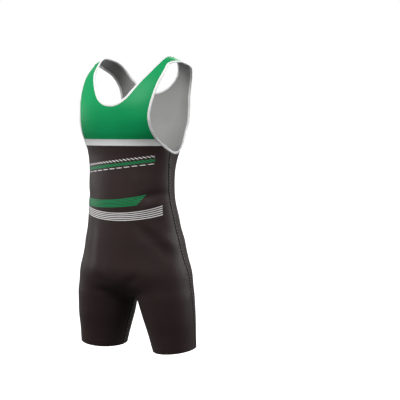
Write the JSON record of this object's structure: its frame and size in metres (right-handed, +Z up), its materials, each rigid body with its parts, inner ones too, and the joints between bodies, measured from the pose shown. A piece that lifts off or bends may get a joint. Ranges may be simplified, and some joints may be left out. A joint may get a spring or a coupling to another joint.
{
  "type": "rowing suit",
  "caption": "Sleeveless stretch bodysuit with short legs, scooped neck, wide armholes, pale bindings and a pale band across chest and back; hollow, as worn.",
  "frame": {"origin": "midway between the two shoulder straps at shoulder height, where a wearer's shoulders hold the suit up", "axes": "+Z up, the front faces -Y, +X is the suit's own left; it is symmetric about x = 0"},
  "size_m": [0.3702, 0.2453, 0.8376],
  "materials": {
    "yoke_green": "smooth stretch knit with a soft satin sheen",
    "body_black": "smooth stretch knit, warm black with a soft sheen",
    "band_white": "smooth white stretch knit",
    "binding_white": "folded elastic knit binding, white"
  },
  "bodies": {
    "root": {"front_yoke": "yoke_green", "front_band": "band_white", "front_body": "body_black", "back_yoke": "yoke_green", "back_band": "band_white", "back_body": "body_black", "neck_binding": "binding_white", "armhole_binding_left": "binding_white", "armhole_binding_right": "binding_white"}
  },
  "joints": []
}
